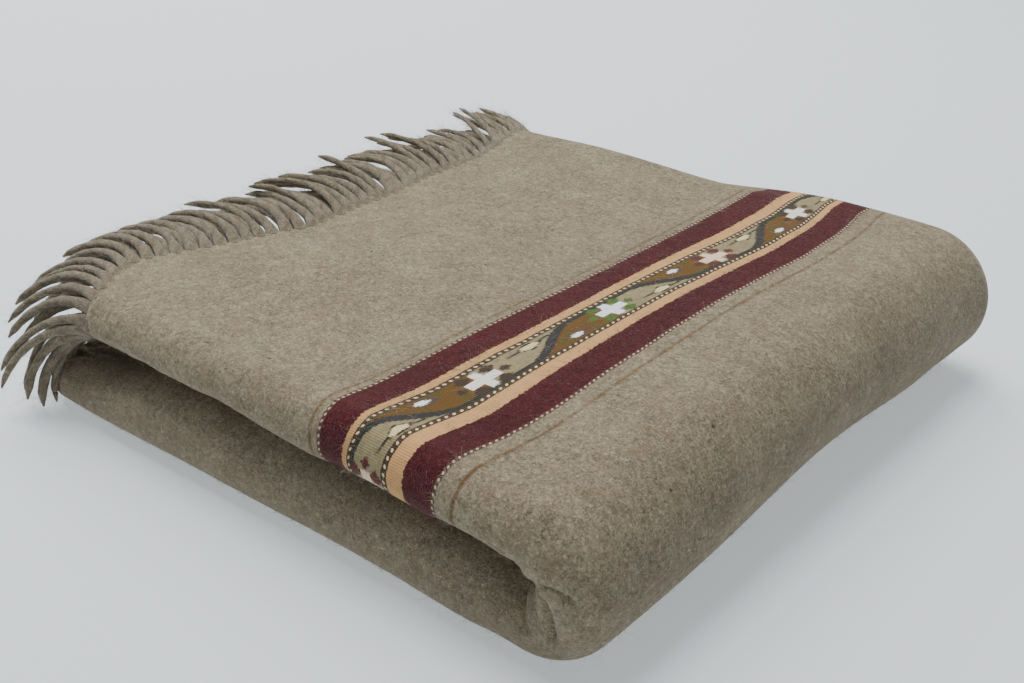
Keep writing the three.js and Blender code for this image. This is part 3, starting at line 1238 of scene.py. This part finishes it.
@dataclass
class ShawlCloth:
    """The one woven cloth, folded into sixteen leaves."""

    fold: FoldMap
    flat_length: float = FLAT_LENGTH
    # How far the weave is drawn towards the near side, most at 195 across
    weave_draw: float = 1.8
    # Steps of a run: from station, to station, step on the outer leaf, step on an inner leaf
    spans: Table = (
        (0, 60, 3.4, 12), (60, 160, 5.0, 20), (160, 280, 3.6, 17), (280, 349.1, 1.15, 5.0),
        (349.1, 560, 8.0, 24), (560, 658.6, 5.0, 11),
    )
    # Steps across: from share of the flat to share, step on the under half, step on the upper half
    across_spans: Table = ((0.0, 0.1, 4.0, 3.4), (0.1, 0.9, 11.0, 5.4), (0.9, 1.0, 4.0, 3.6))
    fold_steps: int = 21
    folds: tuple[Fold, ...] = (
        Fold(True, 3.5, 0.5, 12),
        Fold(False, 0.5, 1.5, 7),
        Fold(True, 1.5, 2.5, 7),
        Fold(False, 2.5, None, 0),
    )

    def run_stations(self, first: float, fine: bool) -> Array:
        """Return the stations of one run, from the fringed side to the pack's end.

        Args:
            first: Station of the run's first place.
            fine: Whether it is an outer leaf.

        Returns:
            The stations.
        """
        parts = [np.array([first])]
        for start, end, outer_step, inner_step in self.spans:
            begin = max(start, first)
            stop = min(end, self.fold.pack_end)
            steps = max(1, round((stop - begin) / (outer_step if fine else inner_step)))
            parts.append(np.linspace(begin, stop, steps + 1)[1:])
        return np.concatenate(parts)

    def sections(self) -> tuple[Array, Array, Array]:
        """Follow the cloth's whole way through the pack.

        Returns:
            Each section's station and level, and its distance from the cloth's first end.
        """
        fold = self.fold
        stations, levels, distances = [], [], []
        travelled = 0.0
        for number, part in enumerate(self.folds):
            first = fold.outer_edge if number == 0 else fold.pitch
            if part.next_level is None:
                first = fold.inner_edge
            run = self.run_stations(first, part.level == fold.outer_level)
            run = run if part.to_end else run[::-1]
            stations.append(run)
            levels.append(np.full(len(run), part.level))
            distances.append(travelled + np.abs(run - run[0]))
            travelled += abs(run[-1] - run[0])
            if part.next_level is None:
                continue
            angle = np.pi * np.arange(1, part.steps) / part.steps
            radius = (part.level - part.next_level) / 2
            base, way = (fold.pack_end, 1) if part.to_end else (fold.pitch, -1)
            stations.append(base + way * abs(radius) * fold.pitch * np.sin(angle))
            levels.append((part.level + part.next_level) / 2 + radius * np.cos(angle))
            distances.append(travelled + angle * abs(radius) * fold.pitch)
            travelled += math.pi * abs(radius) * fold.pitch
        return np.concatenate(stations), np.concatenate(levels), np.concatenate(distances)

    def columns(self) -> Array:
        """Return the columns across, as shares: up to 1 round the fold, then 1 to 2 over the flat.

        Returns:
            The columns, below 0 on the under half.
        """
        flat = self.fold.outer_half_cut - self.fold.outer_arc
        round_fold = np.linspace(0, 1, self.fold_steps + 1)
        halves = []
        for step_column in (2, 3):
            parts = [round_fold]
            for span in self.across_spans:
                steps = max(1, round((span[1] - span[0]) * flat / span[step_column]))
                parts.append(1 + np.linspace(span[0], span[1], steps + 1)[1:])
            halves.append(np.concatenate(parts))
        return np.concatenate([-halves[0][:0:-1], halves[1]])

    def across_at(self, columns: Array, level: Array) -> Array:
        """Return each column's distance along a leaf's cut at this level.

        Args:
            columns: The columns' shares.
            level: Distances from the lengthwise fold's middle, in leaf pitches.

        Returns:
            Distances in millimetres.
        """
        arc = self.fold.arc(level)
        flat = self.fold.half_cut(level) - arc
        out = np.abs(columns)
        return np.sign(columns) * (np.minimum(out, 1) * arc + np.maximum(out - 1, 0) * flat)

    def build(self, material: bpy.types.Material) -> bpy.types.Object:
        """Build the folded sheet.

        Args:
            material: The cloth's finish.

        Returns:
            The cloth, with its thickness as a modifier.
        """
        station, level, distance = self.sections()
        columns = self.columns()
        bm = bmesh.new()
        bmesh.ops.create_grid(bm, x_segments=len(station) - 1, y_segments=len(columns) - 1, size=1.0)
        cloth = new_piece("folded_cloth", bm, material)
        grid = points_of(cloth.data)
        row = np.rint((grid[:, 0] + 1) / 2 * (len(station) - 1)).astype(int)
        column = np.rint((grid[:, 1] + 1) / 2 * (len(columns) - 1)).astype(int)
        across = self.across_at(columns[column], level[row])
        move_points(cloth.data, self.fold.place(station[row], level[row], across))
        drift = BandBend().drift(station[row], across)
        stretch = self.flat_length / MM / distance[-1]
        woven_across = self.across_at(columns[column], np.full(len(column), self.fold.outer_level))
        woven_across = woven_across - self.weave_draw * bell(woven_across, 195, 60)
        set_map(cloth.data, np.stack([distance[row] * stretch + drift, woven_across], -1) * MM)
        solid = cloth.modifiers.new("thickness", "SOLIDIFY")
        solid.thickness = self.fold.thickness * MM
        solid.offset = 0.0
        solid.use_even_offset = False
        return cloth


@dataclass(frozen=True)
class StrandLines:
    """Where an end's strands run: one row for each strand and one place for each ring."""

    centre: Array
    ahead: Array
    up: Array
    aside: Array
    distance: Array
    radius: Array


@dataclass
class FringeEnd:
    """The twisted strands at one end of the cloth."""

    fold: FoldMap
    side: Side
    seed: int
    spacing: float = 7.4
    # The second end's strands: their shift, in spacings, and their rise, in degrees
    second_shift: float = 0.14
    second_rise: float = 5.0
    # Above this height only a share of the rest counts
    high_place: float = 82.0
    high_share: float = 0.35
    root_half_width: float = 3.9
    root_half_height: float = 1.3
    root_inside: float = 2.5
    radius: float = 2.85
    # The thinnest and the thickest strand, as shares of the radius
    radius_range: tuple[float, float] = (0.86, 1.12)
    # Share of the length over which the flat root grows round, at each end of the cloth
    neck: float = 0.26
    second_neck: float = 0.34
    taper: float = 0.36
    thin_end: float = 0.28
    tip_taper: float = 0.75
    rings: int = 40
    sides: int = 10
    twist_pitch: float = 32.0
    ply_relief: float = 0.09
    # Thick and thin places: wave length, start, height as a share of the radius
    slubs: Table = ((6.1, 3, 0.06), (2.3, 7, 0.03))
    # Strands that lie together: chance of a new group, longest pull and share of it
    new_group: float = 0.42
    longest_pull: float = 12.0
    gather: float = 0.3
    # Unevenness where the table below says 1: a share of the length, then degrees
    uneven_length: float = 0.07
    uneven_sag: float = 8.0
    uneven_rise: float = 4.5
    uneven_tip: float = 16.0
    uneven_root: float = 5.0
    sway: float = 8.0
    lift: float = 5.0
    # Radians of the slow wave along a strand
    wave_reach: float = 5.2
    lowest: float = 0.3
    # How the strands hang: across, length, then rise at the root, sag and lean at the tip and lean
    # at the root in degrees, and unevenness
    hang: Table = (
        (-360, 74, 0, 60, 10, 0, 0.5), (-70, 76, 0, 66, -12, 0, 0.5), (-40, 72, -14, 84, -30, -8, 0.5),
        (-22, 70, -12, 92, -42, -16, 0.6), (-8, 76, -6, 74, -36, -10, 0.6), (6, 78, 0, 62, -34, 0, 0.6),
        (24, 80, 3, 50, -26, 12, 0.5), (45, 80, 5, 40, -22, 22, 0.5), (80, 80, 8, 28, -16, 28, 0.5),
        (140, 80, 9, 17, -14, 31, 0.8), (200, 80, 9, 14, -13, 31, 0.9), (260, 78, 7, 12, -10, 32, 1.1),
        (310, 70, 4, 8, -2, 36, 1.3), (345, 58, 4, 4, 8, 36, 1.4), (365, 46, 4, 2, 14, 26, 1.2),
    )
    # The hidden end's strands hang lower: across, more sag, more lean
    lower_hang: Table = ((-360, -6, 0), (-45, 6, -8), (-20, 12, -14), (4, 14, -10), (30, 5, -3), (360, 1, 0))

    @property
    def level(self) -> float:
        """The level of the leaf that ends here."""
        return self.fold.outer_level if self.side is Side.FIRST else self.fold.second_level

    @property
    def edge(self) -> float:
        """The station of the leaf's fringed edge."""
        return self.fold.outer_edge if self.side is Side.FIRST else self.fold.inner_edge

    def roots(self) -> Array:
        """Return the strands' places across the cloth.

        Returns:
            Places in millimetres.
        """
        reach = float(self.fold.half_cut(self.level)) - self.spacing / 2
        shift = 0.0 if self.side is Side.FIRST else self.second_shift
        count = math.floor(2 * reach / self.spacing)
        places = -reach + self.spacing * (np.arange(count + 1) + shift)
        return places[places <= reach]

    def gathered(self, across: Array, draw: np.random.Generator) -> Array:
        """Return each strand's shift towards the middle of the few that lie together.

        Args:
            across: The strands' places.
            draw: Random numbers.

        Returns:
            Shifts in millimetres.
        """
        starts = draw.random(len(across)) < self.new_group
        starts[0] = True
        group = np.cumsum(starts) - 1
        middles = np.bincount(group, across) / np.bincount(group)
        return np.clip(middles[group] - across, -self.longest_pull, self.longest_pull) * self.gather

    def lines(self) -> StrandLines:
        """Work out where every strand runs, in metres, with distances and radii in millimetres.

        Returns:
            The strands' lines.
        """
        draw = np.random.default_rng(self.seed)
        across = self.roots()
        count = len(across)
        share = np.linspace(0, 1, self.rings + 1)[None, :]
        read = [read_table(self.hang, across, column) for column in range(1, 7)]
        length, rise, sag, tip_lean, root_lean, rough = read
        if self.side is Side.SECOND:
            sag = sag + read_table(self.lower_hang, across, 1)
            tip_lean = tip_lean + read_table(self.lower_hang, across, 2)
            rise = rise + self.second_rise * ramp(across, 20, 60)

        def uneven(most: float, high: float = 1.0) -> Array:
            """Return an uneven amount for each strand."""
            return most * rough * draw.uniform(-1, high, count)

        length = length * (1 + uneven(self.uneven_length, 0.8))
        sag = sag + uneven(self.uneven_sag)
        rise = rise + uneven(self.uneven_rise)
        gather = np.degrees(np.arctan2(self.gathered(across, draw), length))
        tip_lean = tip_lean + uneven(self.uneven_tip) + gather
        root_lean = root_lean + uneven(self.uneven_root) + gather
        sway = uneven(self.sway)
        lift = uneven(self.lift)
        phase = draw.uniform(0, 2 * np.pi, count)
        wave = (np.sin(share * self.wave_reach + phase[:, None]) - np.sin(phase)[:, None]) * share
        down = -rise[:, None] + (sag + rise)[:, None] * share + lift[:, None] * wave
        lean = root_lean[:, None] + (tip_lean - root_lean)[:, None] * share + sway[:, None] * wave
        down, lean = np.radians(down), np.radians(lean)
        ahead = np.stack([-np.cos(down) * np.cos(lean), np.cos(down) * np.sin(lean), -np.sin(down)], -1)
        step = length[:, None, None] / self.rings * MM
        run = np.concatenate([np.zeros((count, 1, 3)), np.cumsum(ahead[:, :-1] * step, axis=1)], axis=1)
        station = np.full(count, self.edge + self.root_inside)
        level = np.full(count, self.level)
        root = self.fold.place(station, level, across)
        beside = self.fold.place(station, level, across + 1) - root
        outward = unit(np.stack([np.zeros(count), -beside[:, 2], beside[:, 1]], -1))
        aside = unit(np.cross(ahead, outward[:, None, :]))
        own = draw.uniform(*self.radius_range, count) * (1 - self.thin_end * ramp(across, 230, 320))
        radius = self.radius * own[:, None] * (1 - self.taper * share)
        centre = root[:, None, :] + run
        over = np.maximum(centre[..., 2] - self.high_place * MM, 0)
        centre[..., 2] = centre[..., 2] - over * (1 - self.high_share)
        centre[..., 2] = np.maximum(centre[..., 2], radius * MM * 0.9)
        distance = share * length[:, None]
        return StrandLines(centre, ahead, unit(np.cross(aside, ahead)), aside, distance, radius)

    def build(self, material: bpy.types.Material) -> bpy.types.Object:
        """Build the strands as one piece.

        Args:
            material: The yarn's finish.

        Returns:
            The fringe of this end.
        """
        lines = self.lines()
        count = len(lines.centre)
        bm = rod(self.sides, 1, self.rings)
        one = len(bm.verts)
        copies(bm, count)
        fringe = new_piece(f"fringe_strands_{self.side.value}", bm, material)
        shape = points_of(fringe.data).reshape(count, one, 3)
        ring = np.rint(shape[..., 2] * self.rings).astype(int)
        around = np.arctan2(shape[..., 1], shape[..., 0])
        strand = np.arange(count)[:, None]
        own = np.random.default_rng(self.seed + 1).uniform(0, 6, count)[:, None]
        share = ring / self.rings
        distance = lines.distance[strand, ring]
        neck = ease(share / (self.neck if self.side is Side.FIRST else self.second_neck))
        tip = 1 - self.tip_taper * ramp(share, 0.9, 1.02)
        twist = 2 * np.pi * distance / self.twist_pitch + own
        ply = 1 + self.ply_relief * neck * (np.abs(np.cos(around - twist)) - 0.62)
        slub = sum(most * np.sin(distance / wave + own * start) for wave, start, most in self.slubs)
        relief = ply * (1 + neck * slub)
        body = lines.radius[strand, ring] * tip
        width = mixed(self.root_half_width, body, neck) * relief
        height = mixed(self.root_half_height, body, neck) * relief
        offset = lines.up[strand, ring] * (np.cos(around) * height)[..., None]
        offset = offset + lines.aside[strand, ring] * (np.sin(around) * width)[..., None]
        points = lines.centre[strand, ring] + offset * MM
        points[..., 2] = np.maximum(points[..., 2], self.lowest * MM)
        move_points(fringe.data, points.reshape(-1, 3))
        places = np.stack([distance * MM, around / (2 * np.pi) + 0.5], -1)
        set_map(fringe.data, places.reshape(-1, 2))
        face_outward(fringe)
        return fringe

    def fuzz_roots(self, count: int, draw: np.random.Generator) -> tuple[Array, Array, Array]:
        """Choose places on the strands where fine fibres stand off, more of them near the tips.

        Args:
            count: How many.
            draw: Random numbers.

        Returns:
            Places in metres, the directions off the yarn, and the directions along it.
        """
        lines = self.lines()
        strand = draw.integers(0, len(lines.centre), count)
        ring = np.rint(draw.beta(1.3, 1.0, count) * self.rings).astype(int)
        angle = draw.uniform(0, 2 * np.pi, count)[:, None]
        off = lines.up[strand, ring] * np.cos(angle) + lines.aside[strand, ring] * np.sin(angle)
        radius = lines.radius[strand, ring][:, None] * 0.85 * MM
        return lines.centre[strand, ring] + off * radius, off, lines.ahead[strand, ring]


@dataclass(frozen=True)
class Fibre:
    """How a kind of stray fibre looks: millimetres, and shares of its length from rise to longest."""

    length: float
    half_width: float
    rise: float
    curl: float
    spread: float
    longest: float = 2.0
    lowest: float = 0.2
    highest: float = 92.5


NAP_FIBRE = Fibre(length=5.5, half_width=0.075, rise=0.62, curl=0.6, spread=9.0)
YARN_FIBRE = Fibre(length=7.0, half_width=0.1, rise=0.7, curl=0.4, spread=0.7)


@dataclass
class StrayFibres:
    """Fine fibres that stand off the wool, each tapering to a point."""

    name: str
    kind: Fibre
    seed: int
    bends: int = 4

    def build(self, root: Array, off: Array, along: Array, red: Array,
              material: bpy.types.Material) -> bpy.types.Object:
        """Build the fibres as one piece.

        Args:
            root: Where each fibre stands, in metres.
            off: The direction off the wool there.
            along: The direction that the fibres lie in, more or less.
            red: Share of red dye in each fibre.
            material: Their finish.

        Returns:
            The fibres.
        """
        draw = np.random.default_rng(self.seed)
        kind, count = self.kind, len(root)
        lie = along + draw.normal(size=(count, 3)) * kind.spread
        flat = unit(lie - off * np.sum(lie * off, -1, keepdims=True))
        aside = unit(np.cross(off, flat))
        bm = rod(3, 0, self.bends)
        one = len(bm.verts)
        copies(bm, count)
        piece = new_piece(self.name, bm, material)
        shape = points_of(piece.data).reshape(count, one, 3)
        share = shape[..., 2]
        length = kind.length * np.minimum(draw.gamma(2.4, 0.4, count), kind.longest)[:, None] * MM
        rise = draw.beta(1.1, 2.6, count)[:, None] * kind.rise
        curl = draw.normal(0, kind.curl, count)[:, None]
        up = np.sin(share * math.pi * 0.62) * rise + 0.02
        forward = share * np.sqrt(np.maximum(1 - rise**2, 0.1))
        path = off[:, None, :] * up[..., None] + flat[:, None, :] * forward[..., None]
        path = (path + aside[:, None, :] * (curl * share**2)[..., None]) * length[..., None]
        ring = aside[:, None, :] * shape[..., :1] + off[:, None, :] * shape[..., 1:2]
        points = root[:, None, :] + path + ring * kind.half_width * MM * (1 - 0.3 * share[..., None])
        points[..., 2] = np.clip(points[..., 2], kind.lowest * MM, kind.highest * MM)
        move_points(piece.data, points.reshape(-1, 3))
        layer = piece.data.attributes.new(DYE_ATTRIBUTE, "FLOAT", "POINT")
        layer.data.foreach_set("value", np.repeat(red.astype(np.float32), one))
        face_outward(piece)
        return piece


# How many fibres stand on the wool, on the dark red bands and on each fringe
WOOL_FIBRES = 8600
BAND_FIBRES = 3600
YARN_FIBRES = 7000
# Patches of the outer leaf: from station, to station, from across, to across, share of the fibres
WOOL_PATCHES: Table = ((0, 280, -26, 360, 6.0), (280, 349, -26, 360, 2.0), (349, 650, -26, 26, 2.0))
BAND_PATCHES: Table = ((178, 195, -20, 372, 1.0), (228, 245, -20, 372, 1.0))


@dataclass
class Nap:
    """Places of the cloth's stray fibres."""

    fold: FoldMap
    patches: Table

    def roots(self, count: int, draw: np.random.Generator) -> tuple[Array, Array, Array, Array]:
        """Choose places on the outer leaf.

        Args:
            count: How many.
            draw: Random numbers.

        Returns:
            Places in metres, outward directions, a direction along the cloth and shares of red dye.
        """
        weights = np.array([patch[4] for patch in self.patches], float)
        patch = draw.choice(len(self.patches), count, p=weights / weights.sum())
        bounds = np.array([row[:4] for row in self.patches], float)[patch]
        station = draw.uniform(bounds[:, 0], bounds[:, 1])
        across = draw.uniform(bounds[:, 2], bounds[:, 3])
        level = np.full(count, self.fold.outer_level)
        place = self.fold.place(station, level, across, self.fold.thickness / 2 - 0.15)
        off = self.fold.normal(station, level, across)
        chart = BandChart()
        out = np.abs(station + BandBend().drift(station, across) - chart.centre)
        red = ((out > chart.peach) & (out < chart.maroon)).astype(float)
        return place, off, np.roll(off, 1, axis=-1), red


@dataclass(frozen=True)
class Lamp:
    """A square soft light that faces the shawl, with its place and size in metres."""

    name: str
    place: tuple[float, float, float]
    size: float
    watts: float


@dataclass(frozen=True)
class Studio:
    """The floor, the soft lights and the camera of the photograph."""

    fold: FoldMap
    yaw: float = 128.87
    pitch: float = 27.80
    roll: float = 2.00
    focal_pixels: float = 1396.0
    position: tuple[float, float, float] = (556.8, -357.6, 386.5)
    lamps: tuple[Lamp, ...] = (
        Lamp("window", (-1.35, 0.75, 1.75), 1.7, 55.0),
        Lamp("ceiling", (-0.45, -0.15, 3.0), 1.2, 68.0),
    )
    surroundings: float = 0.3
    floor_size: float = 6.0
    floor_glow: float = 0.45

    def camera(self) -> None:
        """Add the camera at the photograph's angle."""
        data = bpy.data.cameras.new("camera")
        data.sensor_width = 36.0
        data.lens = self.focal_pixels / PHOTO_WIDTH * data.sensor_width
        camera = bpy.data.objects.new("camera", data)
        bpy.context.scene.collection.objects.link(camera)
        yaw, pitch = math.radians(self.yaw), math.radians(self.pitch)
        ahead = Vector((math.cos(yaw) * math.cos(pitch), math.sin(yaw) * math.cos(pitch), -math.sin(pitch)))
        level = ahead.to_track_quat("-Z", "Y")
        camera.rotation_mode = "QUATERNION"
        camera.rotation_quaternion = level @ Euler((0, 0, math.radians(self.roll))).to_quaternion()
        camera.location = self.fold.in_frame(np.array(self.position))
        bpy.context.scene.camera = camera

    def floor(self) -> None:
        """Add the pale floor, which gives off a little light of its own."""
        paint = Paint("pale_floor")
        grain = paint.noise(paint.object_place(), 1.2, 2, 0.5)
        colour = paint.mix(grain, dye(191, 197, 202), dye(197, 203, 208))
        material = paint.finish(Base_Color=colour, Roughness=0.9, Specular_IOR_Level=0.1,
                                Emission_Color=dye(243, 251, 255), Emission_Strength=self.floor_glow)
        bm = bmesh.new()
        bmesh.ops.create_grid(bm, x_segments=1, y_segments=1, size=self.floor_size)
        floor = new_piece("floor", bm, material)

    def light(self, lamp: Lamp) -> None:
        """Add one light.

        Args:
            lamp: The light's sizes.
        """
        data = bpy.data.lights.new(lamp.name, "AREA")
        data.shape = "SQUARE"
        data.size = lamp.size
        data.energy = lamp.watts
        light = bpy.data.objects.new(lamp.name, data)
        light.location = lamp.place
        light.rotation_mode = "QUATERNION"
        light.rotation_quaternion = (-Vector(lamp.place)).to_track_quat("-Z", "Y")
        bpy.context.scene.collection.objects.link(light)

    def lights(self) -> None:
        """Add the soft light from behind on the left, the one from above, and the pale surroundings."""
        for lamp in self.lamps:
            self.light(lamp)
        world = bpy.context.scene.world or bpy.data.worlds.new("world")
        bpy.context.scene.world = world
        world.use_nodes = True
        background = world.node_tree.nodes["Background"]
        background.inputs["Color"].default_value = (*dye(222, 228, 234), 1.0)
        background.inputs["Strength"].default_value = self.surroundings


def report(piece: bpy.types.Object) -> None:
    """Log a piece's name and size."""
    log.info("%s: %d points, %d faces", piece.name, len(piece.data.vertices), len(piece.data.polygons))


def settle(piece: bpy.types.Object, slot: str, *nodes: str) -> None:
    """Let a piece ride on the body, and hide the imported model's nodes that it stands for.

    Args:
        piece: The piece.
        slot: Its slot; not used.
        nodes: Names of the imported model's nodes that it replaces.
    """
    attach(piece, "root")
    if nodes:
        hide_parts(*nodes)
    report(piece)


def main() -> None:
    """Build the studio, the cloth, the fringes and the stray fibres, in this order."""
    logging.basicConfig(level=logging.INFO, format="%(name)s %(message)s")
    fold = FoldMap()
    studio = Studio(fold)
    studio.camera()
    studio.floor()
    studio.lights()

    cloth = ShawlCloth(fold).build(ShawlFinish().material())
    settle(cloth, CLOTH_SLOT, CLOTH_NODE)

    yarn = YarnFinish().material()
    ends = [FringeEnd(fold, Side.FIRST, seed=11), FringeEnd(fold, Side.SECOND, seed=23)]
    fringes = [end.build(yarn) for end in ends]
    for fringe, node in zip(fringes, (FIRST_FRINGE_NODE, SECOND_FRINGE_NODE)):
        settle(fringe, FRINGE_SLOT, node)

    hair = HairFinish().material()
    draw = np.random.default_rng(5)
    patches = (("nap_fibres", WOOL_PATCHES, WOOL_FIBRES), ("band_fibres", BAND_PATCHES, BAND_FIBRES))
    for number, (name, rows, amount) in enumerate(patches):
        roots = Nap(fold, rows).roots(amount, draw)
        settle(StrayFibres(name, NAP_FIBRE, 6 + number).build(*roots, hair), CLOTH_SLOT)
    for number, end in enumerate(ends):
        place, off, along = end.fuzz_roots(YARN_FIBRES, draw)
        fuzz = StrayFibres(f"yarn_fibres_{end.side.value}", YARN_FIBRE, 8 + number)
        settle(fuzz.build(place, off, along, np.zeros(len(place)), hair), FRINGE_SLOT)


if __name__ == "__main__":
    main()
